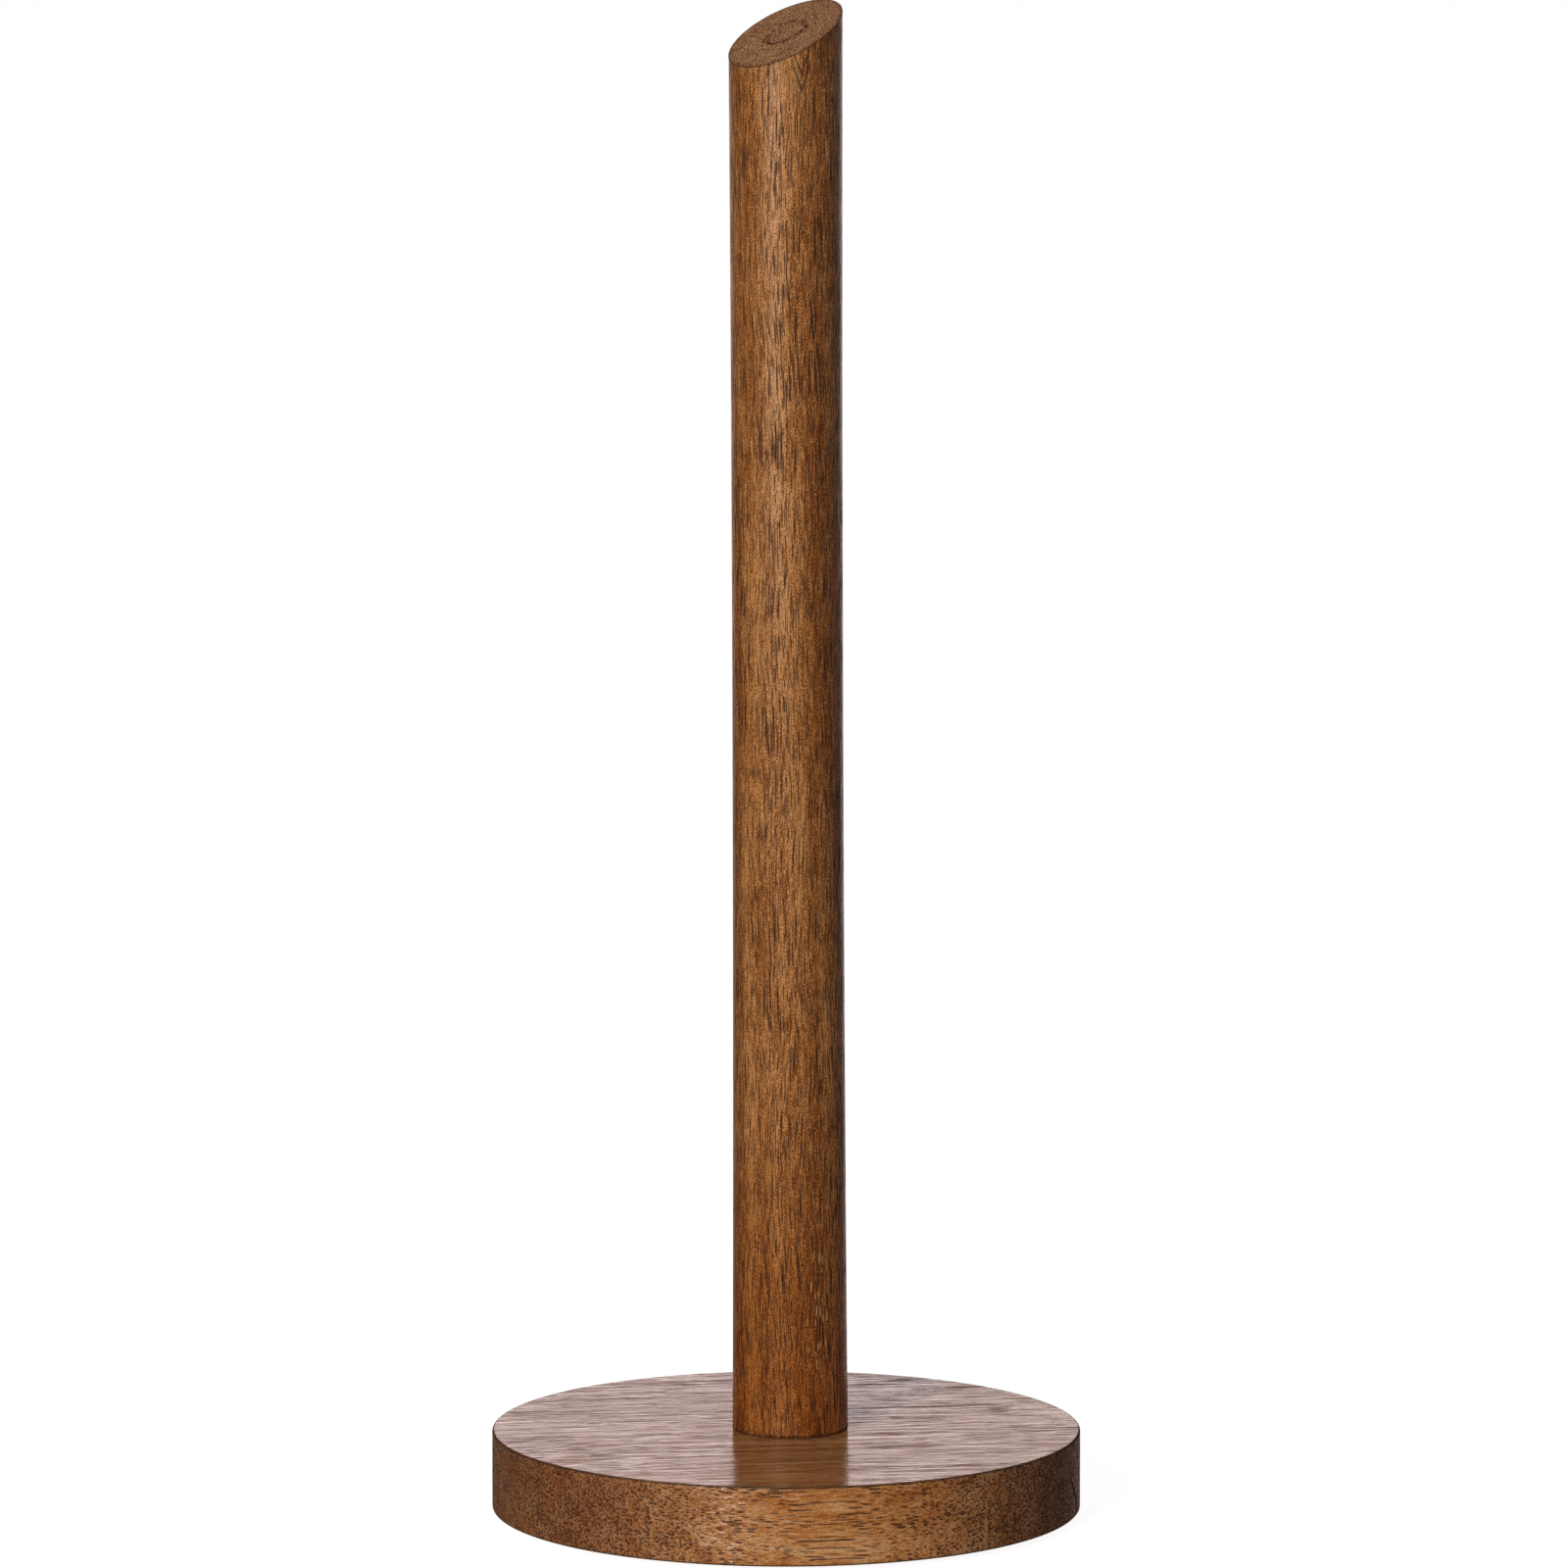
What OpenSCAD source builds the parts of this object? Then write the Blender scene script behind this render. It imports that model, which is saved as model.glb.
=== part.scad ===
// Paper towel holder: a round wooden base with a straight round post that ends in a slanted cut.
// A screw comes up through the base into a threaded insert in the post's foot.
// The object stands on z = 0 and its post's axis is the Z axis. Millimetres.

/* [Base] */
// Diameter of the base disc
base_d = 130; // [110:1:180]
// Thickness of the base disc
base_h = 17.5; // [15:0.5:25]
// Radius that breaks the base's sharp edges
base_ease = 0.5; // [0.3:0.1:2]

/* [Post] */
// Diameter of the post
post_d = 25; // [20:0.5:32]
// Height from the table to the highest point of the post
total_h = 335; // [250:1:380]
// Radius that breaks the edge of the post's foot
post_ease = 0.4; // [0.2:0.1:1]

/* [Slanted top] */
// Angle of the cut face from the horizontal
cut_slope = 28.5; // [0:0.5:45]
// Direction in which the cut face rises, turned from +X towards +Y
cut_turn = 43; // [0:1:359]

/* [Fastening] */
// Nominal diameter of the screw's thread
screw_d = 6; // [5:1:6]
// Length of the screw under its head
screw_l = 30; // [25:1:40]
// Outer diameter of the threaded insert
insert_d = 9; // [8:0.5:12]
// Length of the threaded insert
insert_l = 15; // [10:1:18]
// Diameter of the recess for the screw's head and washers
recess_d = 20; // [19:0.5:24]
// Depth of that recess
recess_h = 8; // [7.5:0.5:9]

/* [Feet] */
// Diameter of one pad
foot_d = 12; // [8:1:14]
// Thickness of one pad
foot_h = 1.5; // [1:0.5:3]
// Radius of the circle on which the pads lie
foot_ring_r = 46; // [36:1:46]

/* [Hidden] */
$fn = 96;

eps = 0.01; // how far a cutter runs past the face it cuts
screw_clearance = 0.6; // how much wider than the screw its holes in the wood are
thread_gap = 0.1; // difference of diameter between the screw's and the insert's plain threads

base_z = foot_h;
base_top = base_z + base_h;
post_l = total_h - base_top;
cut_middle = total_h - post_d / 2 * tan(cut_slope);
recess_top = base_z + recess_h;

washer_h = 1.6;
flat_washer_d = 3 * screw_d;
lock_washer_d = 2 * screw_d - 0.2;
lock_washer_gap = 1.2; // width of the slit that makes the ring springy
lock_washer_skew = 20; // angle of that slit from the radius
washer_bore = screw_d + 0.4;
washer_ease = 0.2;

head_d = 1.75 * screw_d;
head_h = 0.55 * screw_d;
socket_w = 4; // across the flats of the hexagon socket
socket_h = 2;
screw_tip = 0.8; // length of the chamfer at the screw's tip
head_z = recess_top - 2 * washer_h;

insert_chamfer = 0.6;
screw_reach = head_z + screw_l - base_top; // how far the screw goes up into the post
post_bore_l = max(insert_l, screw_reach) + 4; // with room for the screw's tip

foot_count = 4;
foot_ease = 0.4;

wood_colour = "#8a5528";
brass_colour = "#b98f3d";
steel_colour = "#b4b6b8";
rubber_colour = "#2b2b2a";

// Half of a turned part's section, with both outer corners rounded
module eased_section(r, h, ease) {
    square([r - ease, h]);
    translate([0, ease]) square([r, h - 2 * ease]);
    for (z = [ease, h - ease]) translate([r - ease, z]) circle(r = ease);
}

module eased_cylinder(d, h, ease) {
    rotate_extrude() eased_section(d / 2, h, ease);
}

// Ring with rounded outer edges
module washer(d, bore, h) {
    difference() {
        eased_cylinder(d, h, washer_ease);
        translate([0, 0, -eps]) cylinder(d = bore, h = h + 2 * eps);
    }
}

module base_disc() {
    color(wood_colour) translate([0, 0, base_z]) difference() {
        eased_cylinder(base_d, base_h, base_ease);
        translate([0, 0, -eps]) cylinder(d = recess_d, h = recess_h + eps);
        cylinder(d = screw_d + screw_clearance, h = base_h + eps);
    }
}

// Everything above the slanted cut
module above_cut() {
    translate([0, 0, cut_middle]) rotate([0, 0, cut_turn]) rotate([0, -cut_slope, 0])
        translate([-2 * post_d, -2 * post_d, 0]) cube([4 * post_d, 4 * post_d, 4 * post_d]);
}

module post() {
    color(wood_colour) difference() {
        translate([0, 0, base_top]) eased_cylinder(post_d, post_l + post_ease, post_ease);
        above_cut();
        translate([0, 0, base_top - eps]) cylinder(d = insert_d, h = insert_l + eps);
        translate([0, 0, base_top]) cylinder(d = screw_d + screw_clearance, h = post_bore_l);
    }
}

module threaded_insert() {
    color(brass_colour) translate([0, 0, base_top]) difference() {
        cylinder(d = insert_d, h = insert_l);
        translate([0, 0, -eps]) cylinder(d = screw_d, h = insert_l + 2 * eps);
        cylinder(d1 = screw_d + 2 * insert_chamfer, d2 = screw_d, h = insert_chamfer);
    }
}

// Low domed head, upside down, with a hexagon socket
module screw_head() {
    dome_r = (pow(head_d / 2, 2) + pow(head_h, 2)) / (2 * head_h);
    difference() {
        rotate_extrude() intersection() {
            translate([0, dome_r - head_h]) circle(r = dome_r);
            translate([0, -head_h]) square([head_d, head_h]);
        }
        translate([0, 0, -head_h - eps])
            cylinder(d = socket_w / cos(30), h = socket_h + eps, $fn = 6);
    }
}

module fixing_screw() {
    d = screw_d - thread_gap;
    color(steel_colour) translate([0, 0, head_z]) {
        screw_head();
        cylinder(d = d, h = screw_l - screw_tip);
        translate([0, 0, screw_l - screw_tip]) cylinder(d1 = d, d2 = d - 2 * screw_tip, h = screw_tip);
    }
}

module lock_washer() {
    color(steel_colour) translate([0, 0, head_z]) difference() {
        washer(lock_washer_d, washer_bore, washer_h);
        rotate([0, 0, lock_washer_skew]) translate([0, -lock_washer_gap / 2, -eps])
            cube([lock_washer_d, lock_washer_gap, washer_h + 2 * eps]);
    }
}

module flat_washer() {
    color(steel_colour) translate([0, 0, head_z + washer_h])
        washer(flat_washer_d, washer_bore, washer_h);
}

// One rubber pad; number 0 lies 45 degrees from +X
module foot(number) {
    color(rubber_colour) rotate([0, 0, 45 + number * 360 / foot_count])
        translate([foot_ring_r, 0, 0]) eased_cylinder(foot_d, foot_h, foot_ease);
}

base_disc();
post();
threaded_insert();
fixing_screw();
lock_washer();
flat_washer();
foot(0);  // foot_1
foot(1);  // foot_2
foot(2);  // foot_3
foot(3);  // foot_4
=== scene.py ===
"""Paper towel holder: a lacquered wooden base disc and post, with their fastening and foot pads."""
import math

import bpy
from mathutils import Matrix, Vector, noise


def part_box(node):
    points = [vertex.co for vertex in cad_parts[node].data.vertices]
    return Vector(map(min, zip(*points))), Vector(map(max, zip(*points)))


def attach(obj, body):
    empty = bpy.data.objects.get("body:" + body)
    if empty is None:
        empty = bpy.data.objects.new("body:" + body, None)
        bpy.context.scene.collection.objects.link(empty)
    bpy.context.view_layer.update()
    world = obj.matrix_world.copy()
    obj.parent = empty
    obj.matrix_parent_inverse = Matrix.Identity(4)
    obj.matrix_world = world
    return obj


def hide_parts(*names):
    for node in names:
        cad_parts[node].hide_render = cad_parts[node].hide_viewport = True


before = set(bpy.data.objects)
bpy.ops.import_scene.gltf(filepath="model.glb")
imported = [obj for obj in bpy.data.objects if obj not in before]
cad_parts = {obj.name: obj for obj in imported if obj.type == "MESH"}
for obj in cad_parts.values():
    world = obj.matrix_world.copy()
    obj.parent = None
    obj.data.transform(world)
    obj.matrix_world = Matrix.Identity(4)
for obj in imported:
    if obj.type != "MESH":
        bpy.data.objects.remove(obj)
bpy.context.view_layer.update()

MM = 0.001
TAU = 2 * math.pi
BUMP_HEIGHT = 0.1 * MM  # height of every material's bump at full strength


# ---------------------------------------------------------------- sizes, from the frame

def radius_of(name):
    low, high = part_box(name)
    return (high.x - low.x) / 2


def top_of(name):
    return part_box(name)[1].z


def cut_plane(name):
    """The slanted face at the top of a CAD node: a point on it and its outward normal."""
    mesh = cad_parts[name].data
    near_top = 0.9 * top_of(name)
    steepest, flattest = 0.3, 0.99  # limits of a slanted face's upward lean
    slanted = [p for p in mesh.polygons if steepest < p.normal.z < flattest and p.center.z > near_top]
    area = sum(p.area for p in slanted)
    normal = sum((p.normal * p.area for p in slanted), Vector()) / area
    centre = sum((p.center * p.area for p in slanted), Vector()) / area
    return centre, normal.normalized()


BASE_R = radius_of("base_disc")
BASE_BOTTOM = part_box("base_disc")[0].z
BASE_TOP = top_of("base_disc")
POST_R = radius_of("post")
TOTAL_H = top_of("post")
CUT_POINT, CUT_NORMAL = cut_plane("post")
SCREW_TOP = top_of("fixing_screw")
INSERT_R = radius_of("threaded_insert")
INSERT_TOP = top_of("threaded_insert")
RECESS_R = radius_of("flat_washer") + 1 * MM  # the recess leaves the washer 1 mm of room all round
RECESS_TOP = top_of("flat_washer")
HOLE_R = 3.3 * MM  # the screw's clearance hole


# ---------------------------------------------------------------- meshes

def ring(radius, z, columns, shift=0.0):
    """One level of a turned piece: a point for each column's angle."""
    return [Vector((radius * math.cos(a) + shift, radius * math.sin(a), z)) for a in columns]


def skin(name, rings, marks, closed=False, tip=None, end=None):
    """A mesh over successive rings. marks holds, for each ring, how dark its points are painted: a dark line
    on broken edges, and painted shade in a crack and where two parts meet.
    closed joins the last ring to the first; tip and end are single points that close the first and the
    last ring."""
    count = len(rings[0])
    verts = [v for r in rings for v in r]
    faces = []
    pairs = list(zip(range(len(rings) - 1), range(1, len(rings))))
    if closed:
        pairs.append((len(rings) - 1, 0))
    for i, j in pairs:
        for k in range(count):
            m = (k + 1) % count
            faces.append((i * count + k, i * count + m, j * count + m, j * count + k))
    for point, i, flip in ((tip, 0, True), (end, len(rings) - 1, False)):
        if point is None:
            continue
        verts.append(point)
        last = len(verts) - 1
        for k in range(count):
            m = (k + 1) % count
            a, b = i * count + k, i * count + m
            faces.append((b, a, last) if flip else (a, b, last))
    mesh = bpy.data.meshes.new(name)
    mesh.from_pydata(verts, [], faces)
    mesh.validate()
    mesh.polygons.foreach_set("use_smooth", [True] * len(mesh.polygons))
    edge = mesh.attributes.new("edge", "FLOAT", "POINT")
    values = [m for mark in marks for m in (mark if isinstance(mark, list) else [mark] * count)]
    edge.data.foreach_set("value", values + [0.0] * (len(verts) - len(values)))
    piece = bpy.data.objects.new(name, mesh)
    bpy.context.scene.collection.objects.link(piece)
    return piece


def arc(centre_r, centre_z, size, start, stop, steps):
    """Points (radius, height) of a rounded corner, from one angle to another in degrees."""
    out = []
    for i in range(steps + 1):
        a = math.radians(start + (stop - start) * i / steps)
        out.append((centre_r + size * math.cos(a), centre_z + size * math.sin(a)))
    return out


def levels(start, stop, steps):
    """Evenly spaced values, without the first one."""
    return [start + (stop - start) * i / steps for i in range(1, steps + 1)]


# ---------------------------------------------------------------- base disc

BASE_COLUMNS = 480
EDGE = 0.5 * MM  # radius that breaks the disc's edges
RIM_UNEVEN = 0.05 * MM  # a hand-sanded rim isn't a perfect circle
CRACK_ANGLE = math.radians(-14.9)  # where the drying crack's line crosses the middle of the rim
CRACK_SKEW = math.radians(10.0)  # how far round that line goes from the rim's top to its bottom
CRACK_REACH = math.radians(16.0)  # how far from it the mesh bends to follow it
CRACK_WOBBLE = 0.18  # how far it strays from a straight line, as a part of its skew
CRACK_HALF = 0.7 * MM  # half of its width
CRACK_DEPTH = 0.45 * MM
CRACK_ENDS = 0.02, 0.58  # its lower and upper end, as parts of the rim's height
CRACK_FADES = 0.06, 0.2  # how far from those ends it takes to reach its depth
CRACK_PAINTED_SHADE = 1.33  # painted shade in the crack: how much darker than a broken edge's line it is


def smooth(x):
    """Smooth step from 0 to 1."""
    x = min(max(x, 0.0), 1.0)
    return x * x * (3 - 2 * x)


def from_crack(a):
    """Angle from the crack's line, from minus to plus half a turn."""
    return (a - CRACK_ANGLE + math.pi) % TAU - math.pi


def rim_part(z):
    """Height on the rim, from 0 at its lower edge to 1 at its upper edge."""
    return (z - BASE_BOTTOM) / (BASE_TOP - BASE_BOTTOM)


def base_columns():
    """Angles of the disc's columns: even, and close together at the drying crack."""
    beside = (0.35, 0.7, 1.2, 2.2, 4)  # from the crack's line, in half widths
    fine = [CRACK_ANGLE + side * s * CRACK_HALF / BASE_R for s in beside for side in (-1, 1)] + [CRACK_ANGLE]
    clear = max(from_crack(a) for a in fine) + 0.005  # no even column comes nearer than this
    even = [TAU * i / BASE_COLUMNS for i in range(BASE_COLUMNS)]
    return sorted([a for a in even if abs(from_crack(a)) > clear] + [a % TAU for a in fine])


def crack_bend(a, z):
    """How far a column at angle a is turned at height z, so that it runs along the crack."""
    weight = smooth(1 - abs(from_crack(a)) / CRACK_REACH)
    wobble = CRACK_WOBBLE * noise.noise(Vector((z * 400, 3.1, 0.7)))
    return weight * CRACK_SKEW * (0.5 - rim_part(z) + wobble)


def crack_depth(a, z):
    off = abs(from_crack(a)) * BASE_R / CRACK_HALF
    t = rim_part(z)
    along = smooth((t - CRACK_ENDS[0]) / CRACK_FADES[0]) * smooth((CRACK_ENDS[1] - t) / CRACK_FADES[1])
    return CRACK_DEPTH * along * (1 - smooth(off))


def base_profile():
    """The disc's section as (radius, height), from the screw's hole over the top, down the rim and back
    under it, and the points of it that lie on the broken edges."""
    z0, z1 = BASE_BOTTOM, BASE_TOP
    gap = 0.30 * MM  # from a broken edge to the next ring, which keeps the edge's dark line narrow
    hole_ease, recess_ease, sharp = 0.2 * MM, 0.3 * MM, 0.05 * MM
    top_edge = arc(BASE_R - EDGE, z1 - EDGE, EDGE, 90, 0, 5)
    low_edge = arc(BASE_R - EDGE, z0 + EDGE, EDGE, 0, -90, 5)
    profile = [(HOLE_R, z1 - hole_ease), (HOLE_R + hole_ease, z1)]
    profile += [(r, z1) for r in levels(HOLE_R + 1 * MM, BASE_R - EDGE - gap, 24)]
    profile += top_edge
    profile += [(BASE_R, z) for z in [z1 - EDGE - gap] + levels(z1 - EDGE - gap, z0 + EDGE + gap, 40)]
    profile += low_edge
    profile += [(r, z0) for r in levels(BASE_R - EDGE - gap, RECESS_R + 2 * recess_ease, 12)]
    profile += arc(RECESS_R + recess_ease, z0 + recess_ease, recess_ease, 270, 180, 3)
    profile += [(RECESS_R, RECESS_TOP - sharp / 5), (RECESS_R - sharp, RECESS_TOP)]
    profile += [(HOLE_R + sharp, RECESS_TOP), (HOLE_R, RECESS_TOP + sharp)]
    return profile, set(top_edge[1:-1] + low_edge[1:-1])


def make_base():
    columns = base_columns()
    profile, edges = base_profile()
    rings, marks = [], []
    for r, z in profile:
        points, strengths = [], []
        on_rim = r > BASE_R - EDGE * 1.1
        for a in columns:
            turned = a + (crack_bend(a, z) if r > BASE_R * 0.8 else 0)
            depth = crack_depth(a, z) if on_rim else 0
            rim = r - depth
            if on_rim:
                rim += RIM_UNEVEN * noise.noise(Vector((math.cos(a) * 3, math.sin(a) * 3, z * 90)))
            points.append(Vector((rim * math.cos(turned), rim * math.sin(turned), z)))
            # broken edges get a dark line, and the crack gets painted shade in its groove
            strengths.append(max(float((r, z) in edges), min(CRACK_PAINTED_SHADE, 4 * depth / CRACK_DEPTH)))
        rings.append(points)
        marks.append(strengths)
    return skin("base_disc_wood", rings, marks, closed=True)


# ---------------------------------------------------------------- post

POST_COLUMNS = 480
FOOT_SHIFT, TOP_SHIFT = 0.9 * MM, -0.18 * MM  # along X, because the post leans a little
FOOT_SWELL, WAIST, TOP_SWELL = 0.24 * MM, -0.34 * MM, -0.06 * MM  # added to its radius at foot, middle and top
FOOT_EASE, FOOT_CHIP = 0.22 * MM, 0.55 * MM  # radius of the foot's edge, and how much a chip adds to it
FOOT_CLEAR = 1.0 * MM  # height of the first ring above the foot's edge
CUT_LOWER = 0.65 * MM  # how far the slanted cut is below the CAD post's
CUT_EASE = 0.22 * MM  # radius of the cut's edge
BELOW_CUT = 12 * MM  # the rings tilt gradually over this height, to end parallel to the cut


def post_part(z):
    """Height on the post, from 0 at its foot to 1 at its top."""
    return (z - BASE_TOP) / (TOTAL_H - BASE_TOP)


def post_radius(z):
    """The bar's radius: a touch thicker at its ends than in its middle."""
    u = post_part(z)
    ends = FOOT_SWELL + (TOP_SWELL - FOOT_SWELL) * u
    middle = (FOOT_SWELL + TOP_SWELL) / 2 - WAIST
    return POST_R + ends - middle * 4 * u * (1 - u)


def post_shift(z):
    """How far the leaning post's middle is from the axis."""
    return FOOT_SHIFT + (TOP_SHIFT - FOOT_SHIFT) * post_part(z)


def cut_height(x, y):
    """Height of the slanted cut over a point."""
    drop = (CUT_NORMAL.x * (x - CUT_POINT.x) + CUT_NORMAL.y * (y - CUT_POINT.y)) / CUT_NORMAL.z
    return CUT_POINT.z - drop - CUT_LOWER


def cut_ring(radius, columns, below=0.0):
    """A ring on the slanted cut, or at a distance below it."""
    shift = post_shift(TOTAL_H)
    flat = [(radius * math.cos(a) + shift, radius * math.sin(a)) for a in columns]
    return [Vector((x, y, cut_height(x, y) - below)) for x, y in flat]


def foot_chip(a):
    """How far the foot's edge is chipped at this angle, from 0 to 1."""
    p = Vector((math.cos(a) * 9, math.sin(a) * 9, 0.3))
    fine = noise.noise(p * 3)
    return smooth((noise.noise(p) + 0.6 * fine - 0.12) / 0.5)


def post_bore(columns):
    """Rings of the hole for the insert and the screw, and of the foot's flat face."""
    chamfer = 0.3 * MM
    profile = (
        (HOLE_R, SCREW_TOP + 4 * MM), (HOLE_R, INSERT_TOP), (INSERT_R, INSERT_TOP),
        (INSERT_R, BASE_TOP + 0.02 * MM), (INSERT_R + chamfer, BASE_TOP),
    )
    face = levels(INSERT_R + 0.5 * MM, POST_R - 1.2 * MM, 4)
    rings = [ring(r, z, columns) for r, z in profile]
    return rings + [ring(r, BASE_TOP, columns, FOOT_SHIFT) for r in face]


def post_foot(columns):
    """Rings of the foot's edge, eased and here and there chipped."""
    rings = []
    for turn in (0, 22.5, 45, 67.5, 90):
        t = math.radians(turn)
        points = []
        for a in columns:
            size = FOOT_EASE + FOOT_CHIP * foot_chip(a)
            r = post_radius(BASE_TOP) - size + size * math.sin(t)
            z = BASE_TOP + size - size * math.cos(t)
            points.append(Vector((r * math.cos(a) + FOOT_SHIFT, r * math.sin(a), z)))
        rings.append(points)
    return rings


def post_shaft(columns, stop):
    """Level rings up the bar, to the height where they start to tilt."""
    start = BASE_TOP + FOOT_CLEAR
    return [ring(post_radius(z), z, columns, post_shift(z)) for z in [start] + levels(start, stop, 70)]


def post_tilt(columns, start):
    """Rings that tilt from level to parallel with the cut. The last one is where the cut's edge begins."""
    edge = [p.z for p in cut_ring(post_radius(TOTAL_H), columns, CUT_EASE)]
    steps = 24
    rings = []
    for step in list(range(1, steps)) + [steps - 0.04, steps]:
        points = []
        for a, z_edge in zip(columns, edge):
            z = start + (z_edge - start) * step / steps
            r = post_radius(z)
            points.append(Vector((r * math.cos(a) + post_shift(z), r * math.sin(a), z)))
        rings.append(points)
    return rings


def post_cut(columns):
    """Rings of the cut's eased edge."""
    inner = post_radius(TOTAL_H) - CUT_EASE
    turns = [math.radians(t) for t in (30, 60, 90)]
    return [cut_ring(inner + CUT_EASE * math.cos(t), columns, CUT_EASE * (1 - math.sin(t))) for t in turns]


def make_post():
    columns = [TAU * i / POST_COLUMNS for i in range(POST_COLUMNS)]
    lowest = min(cut_height(POST_R * math.cos(a), POST_R * math.sin(a)) for a in columns)
    level_top = lowest - BELOW_CUT
    bore, foot = post_bore(columns), post_foot(columns)
    plain_bar = post_shaft(columns, level_top) + post_tilt(columns, level_top)
    cut_edge = post_cut(columns)
    face_r = post_radius(TOTAL_H) - CUT_EASE - 0.1 * MM
    face = [cut_ring(r, columns) for r in levels(face_r, 1.0 * MM, 14)]
    rings = bore + foot + plain_bar + cut_edge + face
    # the foot's edge gets painted shade where the post meets the disc; the cut's edge gets a dark line
    marks = [0.0] * len(bore) + [1.0] * len(foot) + [0.0] * (len(plain_bar) - 1) + [1.0]
    marks += [1.0, 1.0, 0.5] + [0.0] * len(face)
    shift = post_shift(TOTAL_H)
    bore_end = Vector((0, 0, SCREW_TOP + 4 * MM))
    return skin("post_wood", rings, marks, tip=bore_end, end=Vector((shift, 0, cut_height(shift, 0))))


# ---------------------------------------------------------------- node helpers

class Tree:
    """Short ways to add nodes to a node tree. Inputs are values or other nodes' output sockets."""

    def __init__(self, owner):
        owner.use_nodes = True
        self.tree = owner.node_tree
        self.tree.nodes.clear()

    def add(self, kind, inputs=None, **settings):
        n = self.tree.nodes.new(kind)
        for key, value in settings.items():
            setattr(n, key, value)
        for key, value in (inputs or {}).items():
            self.put(n.inputs[key], value)
        return n

    def put(self, socket, value):
        if isinstance(value, bpy.types.NodeSocket):
            self.tree.links.new(value, socket)
        else:
            socket.default_value = value

    def math(self, operation, *values, clamp=False):
        n = self.add("ShaderNodeMath", dict(enumerate(values)), operation=operation, use_clamp=clamp)
        return n.outputs[0]

    def vector(self, operation, *values):
        n = self.add("ShaderNodeVectorMath", dict(enumerate(values)), operation=operation)
        return n.outputs["Value" if operation in ("LENGTH", "DOT_PRODUCT", "DISTANCE") else "Vector"]

    def noise(self, vector, detail=2.0, roughness=0.5, colour=False):
        inputs = {"Vector": vector, "Scale": 1.0, "Detail": detail, "Roughness": roughness}
        return self.add("ShaderNodeTexNoise", inputs).outputs["Color" if colour else "Fac"]

    def cells(self, vector, dimensions="3D"):
        """Distance to the nearest of many scattered points, and a random colour for each point."""
        n = self.add("ShaderNodeTexVoronoi", {"Vector": vector, "Scale": 1.0}, voronoi_dimensions=dimensions)
        return n.outputs["Distance"], self.add("ShaderNodeSeparateColor", {0: n.outputs["Color"]}).outputs

    def step(self, value, start, stop):
        """Smooth step from 0 at start to 1 at stop."""
        n = self.add("ShaderNodeMapRange", {"Value": value, "From Min": start, "From Max": stop},
                     interpolation_type="SMOOTHSTEP")
        return n.outputs[0]

    def mix(self, factor, a, b, how="MIX"):
        """Colour a, mixed with or multiplied by colour b."""
        n = self.add("ShaderNodeMix", {0: factor, 6: a, 7: b}, data_type="RGBA", blend_type=how)
        return n.outputs[2]

    def mix_value(self, factor, a, b):
        return self.add("ShaderNodeMix", {0: factor, 2: a, 3: b}, data_type="FLOAT").outputs[0]

    def bump(self, height, strength):
        inputs = {"Height": height, "Strength": strength, "Distance": BUMP_HEIGHT}
        return self.add("ShaderNodeBump", inputs).outputs[0]

    def ramp(self, factor, stops):
        n = self.add("ShaderNodeValToRGB", {"Fac": factor})
        elements = n.color_ramp.elements
        while len(elements) < len(stops):
            elements.new(0.5)
        for element, (place, colour) in zip(elements, stops):
            element.position = place
            element.color = (*colour, 1)
        return n.outputs["Color"]


# ---------------------------------------------------------------- wood

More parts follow.
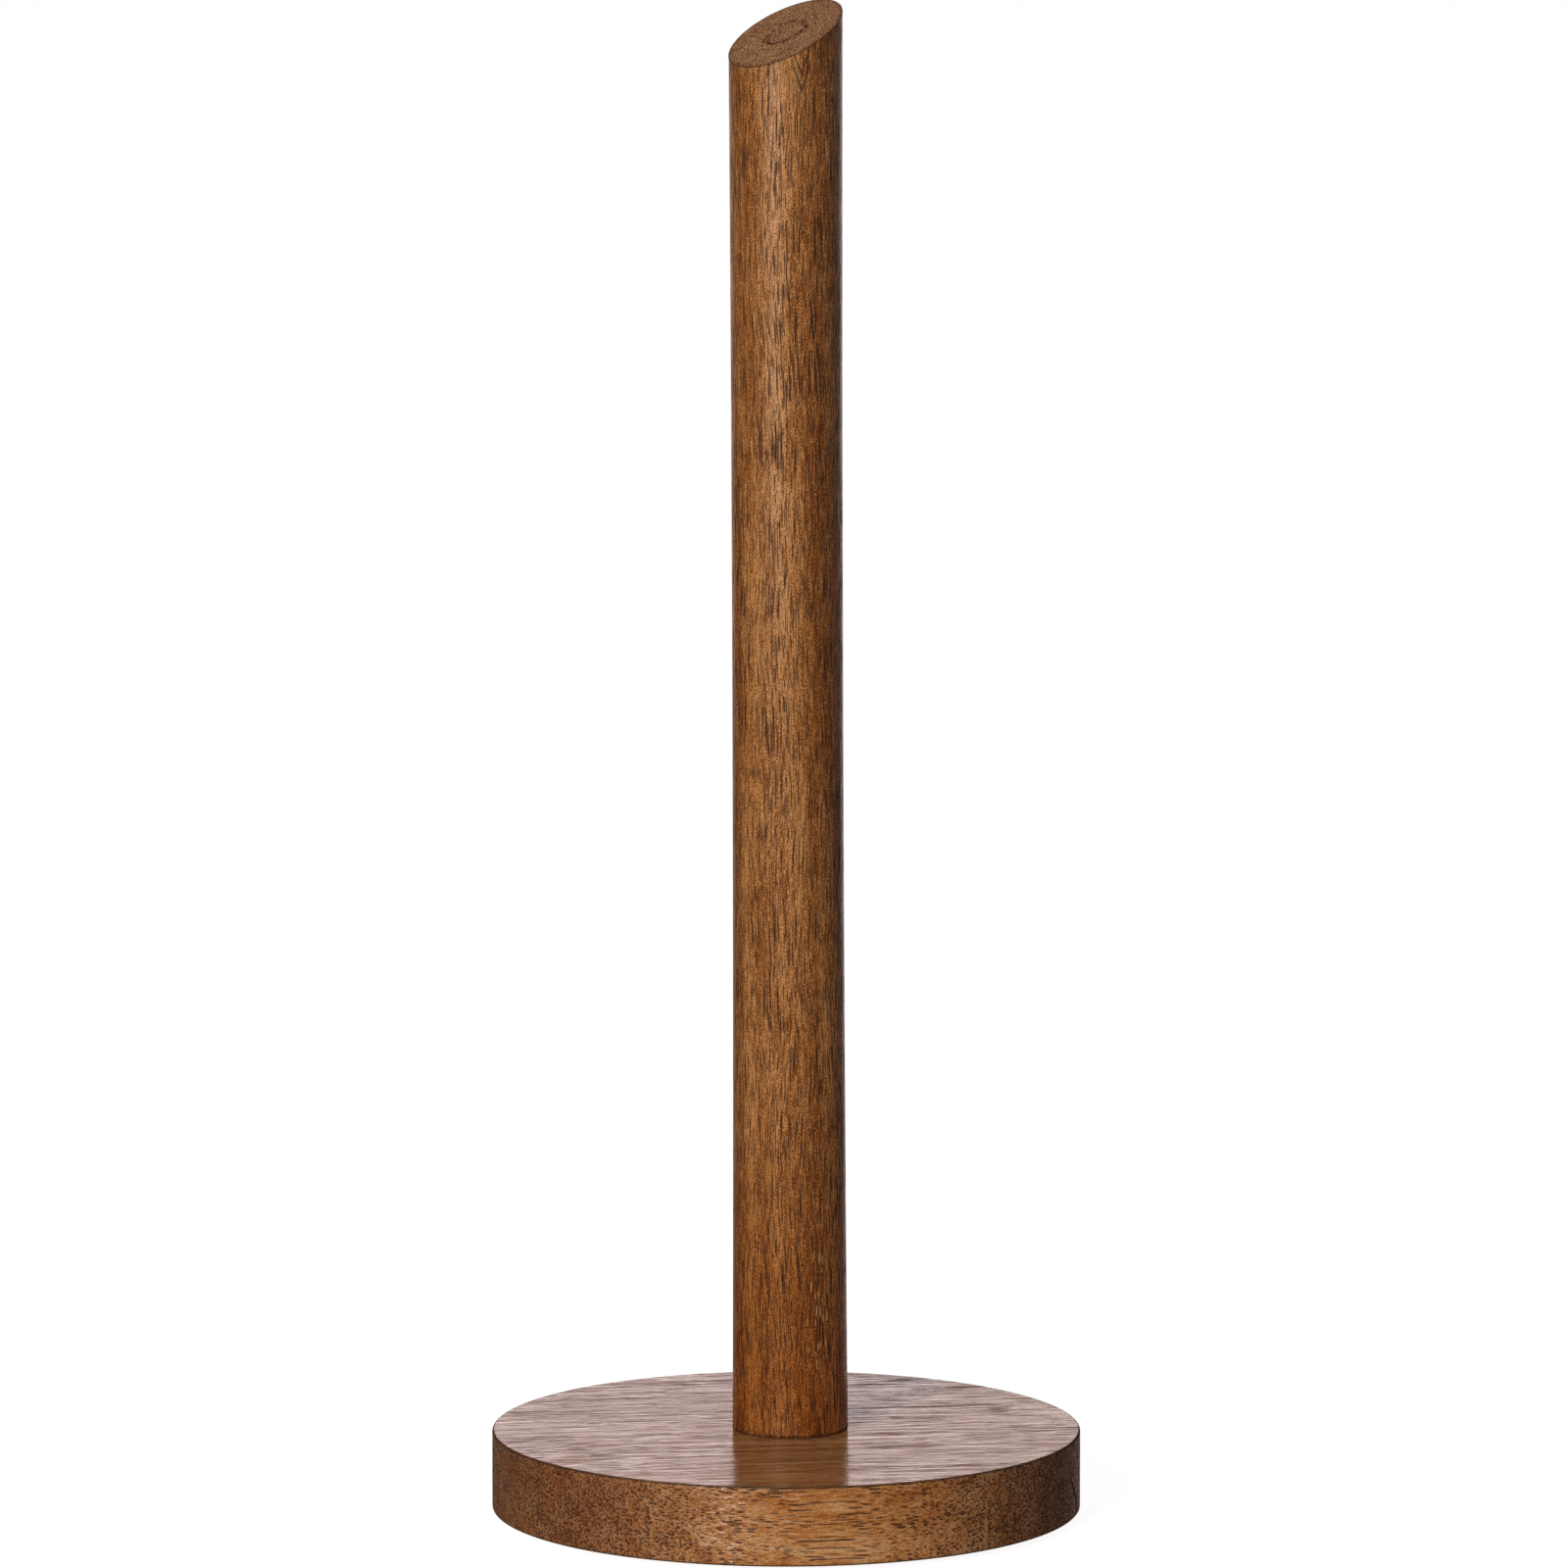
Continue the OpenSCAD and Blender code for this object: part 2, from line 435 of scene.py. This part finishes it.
class Wood(Tree):
    """Solid wood with growth rings round a pith, streaks of colour and pores drawn out along the grain.
    grain is the axis of the fibres, and lengths in the node tree are millimetres. Sizes of noise are
    (along the fibres, across them)."""

    SPOT_SPREAD = 0.20  # how much further the largest spots reach than the smallest, in cells
    SPOT_EDGE = -0.03, 0.06  # where a spot fades in, in cells inside its outline
    SPOT_FAINT = 0.6  # strength of the faintest spots
    YEAR_BEND = 75, 18  # size of the waves in the growth rings
    LATE_WOOD = 0.25, 0.93  # part of a year's ring over which it darkens
    YEAR_END = 1.0, 0.95  # and over which it is pale again
    PORE_PATCH = 60, 4  # size of the places where pores are larger or smaller
    PORE_OPEN_W = 0.9  # width across the fibres of the places where pores are cut open
    CLOUD = 110, 5  # size of the drifting changes of tone
    GRIT = 0.30, 0.24  # size of the grit on end grain
    PAINTED_LIGHT_BAND_EDGE = 40, 4  # size of the waves in the edges of the painted light band
    PAINTED_LIGHT_BAND_WAVE = 4.0  # and their reach

    def __init__(self, material, grain, look):
        super().__init__(material)
        self.grain, self.look = grain, look
        place = self.add("ShaderNodeTexCoord").outputs["Object"]
        scaled = self.add("ShaderNodeVectorMath", {0: place, "Scale": 1000.0}, operation="SCALE").outputs[0]
        self.xyz = self.add("ShaderNodeSeparateXYZ", {0: scaled}).outputs
        along, u, v = (self.xyz[k] for k in {"X": "XYZ", "Z": "ZXY"}[grain])
        u = self.math("MULTIPLY_ADD", along, look["tilt"][0], u)
        v = self.math("MULTIPLY_ADD", along, look["tilt"][1], v)
        straight = self.add("ShaderNodeCombineXYZ", {0: along, 1: u, 2: v}).outputs[0]
        self.p = self.vector("ADD", straight, look["seed"])
        if grain == "Z":  # spiral grain: the fibres turn slowly round the bar
            turned = self.math("MULTIPLY", along, look["twist"] * MM / POST_R)
            self.p = self.add("ShaderNodeVectorRotate", {"Vector": self.p, "Angle": turned},
                              rotation_type="X_AXIS").outputs[0]
        for run, width, reach in look["wander"]:  # the fibres wander a little from a straight line
            wander = self.vector("SUBTRACT", self.blob(run, width, detail=1, colour=True), (0.5, 0.5, 0.5))
            self.p = self.vector("ADD", self.p, self.vector("MULTIPLY", wander, (0, reach, reach)))
        self.along, self.u, self.v = self.add("ShaderNodeSeparateXYZ", {0: self.p}).outputs
        geometry = self.add("ShaderNodeNewGeometry")
        normal = self.add("ShaderNodeVectorTransform", {0: geometry.outputs["True Normal"]},
                          vector_type="NORMAL", convert_from="WORLD", convert_to="OBJECT").outputs[0]
        axis = (1, -look["tilt"][0], 0) if grain == "X" else (0, 0, 1)
        facing = self.math("ABSOLUTE", self.vector("DOT_PRODUCT", normal, axis))
        self.end = self.step(facing, *look["end_range"])  # 1 where the grain ends in the surface

    def blob(self, run, width, detail=2, roughness=0.5, colour=False):
        """Noise whose patches are run long and width across."""
        stretched = self.vector("MULTIPLY", self.p, (1 / run, 1 / width, 1 / width))
        return self.noise(stretched, detail, roughness, colour)

    def centred(self, value, amount, base=0.0):
        """base, plus a noise value's distance from its middle times amount."""
        return self.math("MULTIPLY_ADD", self.math("SUBTRACT", value, 0.5), amount, base)

    def plane(self, a, a_cell, b, b_cell):
        """A flat place to lay cells out in, from two lengths and the size of a cell along each."""
        return self.add("ShaderNodeCombineXYZ", {
            0: self.math("DIVIDE", a, a_cell), 1: self.math("DIVIDE", b, b_cell),
        }).outputs[0]

    def spots(self, place, size, dimensions="2D"):
        """One dark spot in each cell. size is a spot's smallest reach, in cells."""
        near, pick = self.cells(place, dimensions)
        reach = self.math("MULTIPLY_ADD", pick[0], self.SPOT_SPREAD, size)
        spot = self.step(self.math("SUBTRACT", reach, near), *self.SPOT_EDGE)
        strength = self.math("MULTIPLY_ADD", pick[1], 1 - self.SPOT_FAINT, self.SPOT_FAINT)
        return self.math("MULTIPLY", spot, strength)

    def rings(self):
        """Distance from the pith, and how dark the late wood of each year's ring is."""
        look = self.look
        offset = self.vector("SUBTRACT", self.p, self.vector("ADD", look["seed"], (0, *look["pith"])))
        distance = self.vector("LENGTH", self.vector("MULTIPLY", offset, (0, 1, 1)))
        bend = self.math("MULTIPLY", self.blob(*self.YEAR_BEND), look["ring_wobble"])
        year = self.math("FRACT", self.math("DIVIDE", self.math("ADD", distance, bend), look["ring_width"]))
        late = self.math("MULTIPLY", self.step(year, *self.LATE_WOOD), self.step(year, *self.YEAR_END))
        return distance, late

    def pores(self):
        """Pores: tubes along the fibres, which show as dots in end grain and as dashes along it."""
        look = self.look
        thick = self.centred(self.blob(*self.PORE_PATCH, detail=1), look["pore_patch"], look["pore_size"])
        cell = look["pore_cell"]
        tubes = self.plane(self.u, cell, self.v, cell)
        if self.grain == "Z":  # on a turned bar the dashes are laid out round its skin
            round_bar = self.round_bar(self.u, self.v)
            dash = self.math("MAXIMUM", *(
                self.spots(self.plane(self.along, run, round_bar, width), self.math("ADD", thick, extra))
                for run, width, extra in look["dashes"]
            ))
            dash = self.math("MAXIMUM", dash, self.flame())
            dots = self.spots(tubes, look["end_pores"])
            return self.mix_value(self.end, dash, dots)
        opening = self.blob(look["pore_run"], self.PORE_OPEN_W, detail=1)
        open_here = self.centred(opening, look["pore_gap"], thick)
        size = self.math("MULTIPLY_ADD", self.end, look["end_pores"], open_here)
        pore = self.spots(tubes, size)
        for run, width, extra in look["dashes"]:
            stretched = self.vector("MULTIPLY", self.p, (1 / run, 1 / width, 1 / width))
            dash = self.spots(stretched, self.math("ADD", thick, extra), "3D")
            pore = self.math("MAXIMUM", pore, dash)
        return pore

    def round_bar(self, x, y):
        """Distance round the bar's skin from its front, to the right."""
        turn = self.math("ARCTAN2", x, self.math("MULTIPLY", y, -1.0))
        return self.math("MULTIPLY", turn, POST_R / MM)

    def flame(self):
        """Nested pointed arches where the growth rings run out at the skin, just under the cut."""
        place, height, slope, pitch = self.look["flame"]
        wave_size, wave = (3, 1), 0.8
        tip = 0.2  # radius of the arches' tips
        outer, inner = 1.1, 0.3  # from the middle of a line to where it is gone, and to where it is full
        last, whole = 1.6, 1.3  # pitches above the lowest tip where the arches end and start to fade
        far, near = 2.4, 1.6  # from the arches' axis to where they end and start to fade
        strength = 0.8
        across = self.math("SUBTRACT", self.round_bar(self.xyz["X"], self.xyz["Y"]), place)
        across = self.centred(self.blob(*wave_size), wave, across)
        rounded = self.math("SQRT", self.math("MULTIPLY_ADD", across, across, tip * tip))
        above_tip = self.math("SUBTRACT", self.xyz["Z"], height)
        rise = self.math("SUBTRACT", above_tip, self.math("MULTIPLY", rounded, slope))
        line = self.step(self.math("PINGPONG", rise, pitch / 2), outer, inner)
        line = self.math("MULTIPLY", line, self.step(rise, -outer, -inner))
        line = self.math("MULTIPLY", line, self.step(rise, last * pitch, whole * pitch))
        line = self.math("MULTIPLY", line, self.step(self.math("ABSOLUTE", across), far, near))
        return self.math("MULTIPLY", line, strength)

    def scuffs(self):
        """Short pale scratches in the lacquer, close together near the foot."""
        place, height = self.look["scuffs"]
        half_w, half_h = 3.6, 17.0  # of the oval that holds them
        length, width, size = 6.0, 0.75, 0.05  # a scratch's cell, and its smallest reach in cells
        round_bar = self.round_bar(self.xyz["X"], self.xyz["Y"])
        across = self.math("DIVIDE", self.math("SUBTRACT", round_bar, place), half_w)
        up = self.math("DIVIDE", self.math("SUBTRACT", self.xyz["Z"], height), half_h)
        away = self.math("MULTIPLY_ADD", across, across, self.math("MULTIPLY", up, up))
        marks = self.spots(self.plane(self.xyz["Z"], length, round_bar, width), size)
        return self.math("MULTIPLY", marks, self.step(away, 1.0, 0.3))

    def heart(self, distance):
        """A broken dark ring round the pith, seen on the slanted cut."""
        radius, half = self.look["heart"]
        wave_size, wave = (9, 1.6), 3.6
        gap_size, gap, whole = (9, 0.6), 0.42, 0.56  # the ring is gone below gap and full above whole
        core = 0.1  # half the width of its darkest line
        uneven = self.centred(self.blob(*wave_size), wave, distance)
        off = self.math("ABSOLUTE", self.math("SUBTRACT", uneven, radius))
        broken = self.step(self.blob(*gap_size, detail=1), gap, whole)
        return self.math("MULTIPLY", self.step(off, half, core), self.math("MULTIPLY", broken, self.end))

    def tone(self, late):
        """How dark the wood is, from 0 to 1, before stain."""
        look = self.look
        tone = self.centred(self.blob(*self.CLOUD), look["cloud"], look["depth"])
        tone = self.centred(self.streak, look["streak"], tone)
        tone = self.centred(self.fibre, look["fibre"], tone)
        tone = self.centred(self.fleck, look["fleck"], tone)
        grit = self.centred(self.blob(*self.GRIT, detail=1), look["grit"])
        tone = self.math("ADD", tone, self.math("MULTIPLY", grit, self.end))
        if "painted_light_band" in look:  # painted light and shade: a paler band runs through the middle of the bar, seen from front and back, and its left and right sides are painted darker
            start, stop, amount = look["painted_light_band"]
            aside = self.math("ABSOLUTE", self.math("SUBTRACT", self.xyz["X"], look["painted_light_band_middle"]))
            edge = self.centred(self.blob(*self.PAINTED_LIGHT_BAND_EDGE), self.PAINTED_LIGHT_BAND_WAVE, aside)
            tone = self.math("MULTIPLY_ADD", self.step(edge, start, stop), amount, tone)
        return self.centred(late, look["ring_tone"], tone)


PORE_HOLLOW = 0.5  # how deep a pore is in the bump
PORE_DULL, EDGE_DULL = 0.4, 0.5  # how much rougher pores and broken edges are


def wood(name, grain, look):
    """The lacquered wood of one piece: its colour, then its relief, then its gloss."""
    material = bpy.data.materials.new(name)
    t = Wood(material, grain, look)
    t.streak = t.blob(*look["streak_size"], roughness=0.6)
    t.fibre = t.blob(*look["fibre_size"], roughness=0.7)
    t.fleck = t.blob(*look["fleck_size"], detail=1)
    distance, late = t.rings()
    colour = t.ramp(t.tone(late), look["tones"])
    # end grain drinks more stain, which darkens the disc's rim; the post's slanted cut is painted paler and
    # greyer instead, as painted light and a painted reflection. Stain collects in pores, broken edges get a
    # dark line, and the crack and the post's foot get painted shade
    colour = t.mix(t.end, colour, look["end_stain_and_painted_light"], "MULTIPLY")
    # the post is darker and redder towards its foot
    if "foot_tone" in look:
        colour = t.mix(t.step(t.xyz["Z"], *look["foot_range"]), colour, look["foot_tone"], "MULTIPLY")
    pore = t.pores()
    if "heart" in look:
        pore = t.math("MAXIMUM", pore, t.heart(distance))
    colour = t.mix(t.math("MULTIPLY", pore, look["pore_dark"]), colour, look["pore_tone"])
    if "scuffs" in look:
        colour = t.mix(t.scuffs(), colour, look["scuff_tone"])
    # a dark line on broken edges, and painted shade in the crack and where the post meets the disc
    edge = t.add("ShaderNodeAttribute", attribute_name="edge").outputs["Fac"]
    colour = t.mix(t.math("MULTIPLY", edge, look["edge_line_and_painted_shade_strength"]), colour, look["edge_line_and_painted_shade_tone"])

    height = t.math("MULTIPLY_ADD", pore, -PORE_HOLLOW, t.math("MULTIPLY", t.fibre, look["fibre_relief"]))
    height = t.math("MULTIPLY_ADD", t.fleck, look["fleck_relief"], height)
    height = t.math("MULTIPLY_ADD", t.streak, look["wave"], height)
    bump = t.bump(height, look["relief"])

    rough = t.math("MULTIPLY_ADD", pore, PORE_DULL, look["roughness"])
    rough = t.centred(t.streak, look["streak_gloss"], rough)
    rough = t.math("MULTIPLY_ADD", edge, EDGE_DULL, rough)
    rough = t.math("MULTIPLY_ADD", t.end, look["end_roughness"], rough, clamp=True)
    # light scatters more across the fibres than along them
    if grain == "Z":
        tangent = t.add("ShaderNodeTangent", direction_type="RADIAL", axis="Z").outputs[0]
    else:
        tangent = t.add("ShaderNodeCombineXYZ", {0: 0.0, 1: 1.0, 2: 0.0}).outputs[0]
    shader = t.add("ShaderNodeBsdfPrincipled", {
        "Base Color": colour, "Roughness": rough, "Normal": bump, "IOR": 1.5,
        "Specular IOR Level": look["specular"], "Anisotropic": look["anisotropy"], "Tangent": tangent,
    })
    t.add("ShaderNodeOutputMaterial", {"Surface": shader.outputs[0]})
    return material


def plain(name, colour, roughness, metallic, grain_size, amount):
    """A metal or rubber with a fine uneven surface. Its colour varies by amount and its roughness by 0.1,
    both up and down."""
    material = bpy.data.materials.new(name)
    t = Tree(material)
    place = t.add("ShaderNodeTexCoord").outputs["Object"]
    grain = t.noise(t.vector("MULTIPLY", place, (1 / grain_size,) * 3), detail=4, roughness=0.6)
    dark, pale = ((*(c * k for c in colour), 1) for k in (1 - amount, 1 + amount))
    tint = t.mix(grain, dark, pale)
    rough = t.math("MULTIPLY_ADD", grain, 0.2, roughness - 0.1)
    bump = t.bump(grain, 0.2)
    shader = t.add("ShaderNodeBsdfPrincipled", {
        "Base Color": tint, "Roughness": rough, "Metallic": metallic, "Normal": bump,
    })
    t.add("ShaderNodeOutputMaterial", {"Surface": shader.outputs[0]})
    return material


def dress(node, material):
    """Gives a CAD node its finish."""
    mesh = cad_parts[node].data
    mesh.materials.clear()
    mesh.materials.append(material)


# ---------------------------------------------------------------- stage

def make_floor():
    """A pale floor that takes the object's shadow and throws no light back on it."""
    mesh = bpy.data.meshes.new("floor")
    size = 30.0
    corners = [(-size, -size, 0), (size, -size, 0), (size, size, 0), (-size, size, 0)]
    mesh.from_pydata(corners, [], [(0, 1, 2, 3)])
    floor = bpy.data.objects.new("floor", mesh)
    bpy.context.scene.collection.objects.link(floor)
    material = bpy.data.materials.new("floor")
    t = Tree(material)
    diffuse = t.add("ShaderNodeBsdfDiffuse", {"Color": grey(0.9)})
    glow = t.add("ShaderNodeEmission", {"Color": grey(1), "Strength": 0.9})
    both = t.add("ShaderNodeAddShader", {0: diffuse.outputs[0], 1: glow.outputs[0]})
    t.add("ShaderNodeOutputMaterial", {"Surface": both.outputs[0]})
    mesh.materials.append(material)
    floor.visible_diffuse = False
    floor.visible_glossy = False


def grey(value):
    return (value, value, value, 1)


def make_world():
    """The studio as the object sees it: dim all round, less dim on the right at the height of the horizon,
    and with a bright pinkish wall low behind the object. The camera sees plain white instead."""
    world = bpy.data.worlds.new("studio")
    bpy.context.scene.world = world
    t = Tree(world)
    direction = t.add("ShaderNodeTexCoord").outputs["Generated"]
    x, y, z = t.add("ShaderNodeSeparateXYZ", {0: direction}).outputs
    behind = t.step(y, 0.84, 0.95)
    right_drop = t.math("MULTIPLY", t.step(x, 0.02, 0.20), 0.12)  # the wall reaches lower on the right
    above_floor = t.step(t.math("ADD", right_drop, z), -0.30, 0.02)
    below_top = t.step(z, 0.38, 0.21)
    wall = t.math("MULTIPLY", t.math("MULTIPLY", behind, above_floor), below_top)
    level = t.math("MULTIPLY", t.step(z, -0.21, -0.10), t.step(z, 0.85, 0.35))
    dim, brighter = grey(0.07), grey(0.17)
    side = t.mix(t.step(x, -0.1, 0.3), dim, brighter)
    light = t.mix(wall, t.mix(level, dim, side), (1.74, 1.48, 1.51, 1))
    studio = t.add("ShaderNodeBackground", {"Color": light, "Strength": 1.0})
    pale = t.add("ShaderNodeBackground", {"Color": grey(1), "Strength": 1.05})
    seen = t.add("ShaderNodeLightPath").outputs["Is Camera Ray"]
    both = t.add("ShaderNodeMixShader", {0: seen, 1: studio.outputs[0], 2: pale.outputs[0]})
    t.add("ShaderNodeOutputWorld", {"Surface": both.outputs[0]})


def softbox(name, place, aim, width, height, radiance, colour=(1, 1, 1)):
    """A rectangular lamp facing a point, as bright as radiance all over, which the camera doesn't see."""
    lamp = bpy.data.lights.new(name, "AREA")
    lamp.shape = "RECTANGLE"
    lamp.size, lamp.size_y = width, height
    lamp.energy = radiance * math.pi * width * height
    lamp.color = colour
    holder = bpy.data.objects.new(name, lamp)
    bpy.context.scene.collection.objects.link(holder)
    holder.location = place
    holder.rotation_euler = (Vector(aim) - Vector(place)).to_track_quat("-Z", "Y").to_euler()
    holder.visible_camera = False


CAMERA_DISTANCE = 2.4
CAMERA_PITCH = math.radians(8.07)
CAMERA_LENS = 251.3
CAMERA_AIM = 0.4857  # height that it looks at, as a part of the object's
CAMERA_SIDE = -0.48 * MM  # how far to the right of the axis it looks


def make_camera():
    data = bpy.data.cameras.new("camera")
    data.sensor_width = 36
    data.lens = CAMERA_LENS
    data.clip_start, data.clip_end = 0.05, 60
    camera = bpy.data.objects.new("camera", data)
    bpy.context.scene.collection.objects.link(camera)
    aim = Vector((CAMERA_SIDE, 0, CAMERA_AIM * TOTAL_H))
    back = Vector((0, -math.cos(CAMERA_PITCH), math.sin(CAMERA_PITCH)))
    camera.location = aim + back * CAMERA_DISTANCE
    camera.rotation_mode = "QUATERNION"
    camera.rotation_quaternion = (-back).to_track_quat("-Z", "Y")
    bpy.context.scene.camera = camera


make_camera()
make_world()
make_floor()
middle = (0, 0, TOTAL_H * 0.5)
softbox("key", (-0.82, -1.755, 0.66), middle, 0.58, 1.12, 9.9, (1, 0.97, 0.93))
bpy.context.scene.view_settings.view_transform = "Standard"

POST_LOOK = {
    "seed": (0.0, 0.0, 0.0),
    "pith": (0.4, 0.3),
    "tilt": (0.0, 0.0),
    "twist": 0.012,
    "wander": ((58, 24, 4.2), (16, 5, 0.9)),
    "ring_width": 2.9,
    "ring_wobble": 9.0,
    "ring_tone": 0.10,
    "heart": (4.0, 0.9),
    "scuffs": (7.0, 47.0),
    "flame": (3.4, 315.6, 3.0, 3.4),
    "cloud": 0.95,
    # painted light and shade: a paler middle and darker sides, as seen from the front
    "painted_light_band": (5.6, 9.2, 0.13),
    "painted_light_band_middle": -2.2,
    "grit": 8.5,
    "streak_size": (24, 1.7),
    "streak": 0.4,
    "depth": 0.41,
    "fibre": 1.7,
    "fibre_size": (5.0, 0.25),
    "fleck": 2.1,
    "fleck_size": (0.30, 0.26),
    "tones": (
        (0.0, (1.0, 0.50, 0.20)),
        (0.3, (0.68, 0.285, 0.080)),
        (0.55, (0.45, 0.150, 0.028)),
        (0.8, (0.31, 0.085, 0.012)),
        (1.0, (0.20, 0.040, 0.003)),
    ),
    "pore_cell": 0.42,
    "pore_size": 0.10,
    "pore_patch": 0.19,
    "dashes": ((15.0, 0.56, 0.03), (7.0, 0.46, 0.0)),
    "end_pores": 0.18,
    "pore_dark": 0.95,
    "pore_tone": (0.030, 0.005, 0.0006, 1),
    "scuff_tone": (1.0, 0.60, 0.27, 1),
    "end_range": (0.5, 0.9),
    # the post's slanted cut is painted paler and greyer: painted light and a painted reflection
    "end_stain_and_painted_light": (1.24, 1.38, 1.85, 1),
    "foot_range": (120.0, 26.0),
    "foot_tone": (0.70, 0.55, 0.33, 1),
    "edge_line_and_painted_shade_strength": 0.7,
    "edge_line_and_painted_shade_tone": (0.040, 0.014, 0.005, 1),
    "specular": 0.38,
    "roughness": 0.26,
    "end_roughness": 0.2,
    "anisotropy": 0.5,
    "relief": 0.6,
    "fibre_relief": 0.9,
    "fleck_relief": 0.5,
    "wave": 0.2,
    "streak_gloss": 0.2,
}

BASE_LOOK = {
    "seed": (11.0, 3.0, 7.0),
    "pith": (14.0, -38.0),
    "tilt": (-0.15, 0.02),
    "wander": ((58, 24, 4.2), (9, 5, 0.35)),
    "ring_width": 4.2,
    "ring_wobble": 10.0,
    "ring_tone": 0.12,
    "cloud": 0.7,
    "grit": 0.6,
    "streak_size": (15, 1.0),
    "streak": 0.85,
    "depth": 0.42,
    "fibre": 1.4,
    "fibre_size": (4.0, 0.34),
    "fleck": 1.1,
    "fleck_size": (0.30, 0.26),
    "tones": (
        (0.0, (1.0, 0.60, 0.31)),
        (0.3, (0.88, 0.40, 0.145)),
        (0.55, (0.68, 0.250, 0.060)),
        (0.8, (0.48, 0.140, 0.022)),
        (1.0, (0.32, 0.066, 0.005)),
    ),
    "pore_cell": 0.66,
    "pore_run": 5.0,
    "pore_size": 0.13,
    "pore_patch": 0.40,
    "pore_gap": 0.40,
    "dashes": ((6.0, 0.60, -0.02),),
    "end_pores": 0.17,
    "pore_dark": 0.95,
    "pore_tone": (0.06, 0.008, 0.0008, 1),
    "end_range": (0.15, 0.85),
    "end_stain_and_painted_light": (0.57, 0.50, 0.46, 1),
    "edge_line_and_painted_shade_strength": 0.75,
    "edge_line_and_painted_shade_tone": (0.040, 0.014, 0.005, 1),
    "specular": 0.5,
    "roughness": 0.13,
    "end_roughness": 0.32,
    "anisotropy": 0.6,
    "relief": 0.8,
    "fibre_relief": 0.9,
    "fleck_relief": 0.0,
    "wave": 3.2,
    "streak_gloss": 1.0,
}

base = make_base()
base.data.materials.append(wood("base_wood", "X", BASE_LOOK))
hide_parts("base_disc")
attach(base, "root")

post = make_post()
post.data.materials.append(wood("post_wood", "Z", POST_LOOK))
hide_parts("post")
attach(post, "root")

steel = plain("zinc_plated_steel", (0.60, 0.61, 0.62), 0.35, 1.0, 0.0008, 0.06)
brass = plain("turned_brass", (0.72, 0.50, 0.20), 0.32, 1.0, 0.0006, 0.08)
rubber = plain("foot_rubber", (0.028, 0.028, 0.027), 0.75, 0.0, 0.0005, 0.25)
for node in ("fixing_screw", "lock_washer", "flat_washer"):
    dress(node, steel)
dress("threaded_insert", brass)
for node in [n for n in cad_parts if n.startswith("foot_")]:
    dress(node, rubber)
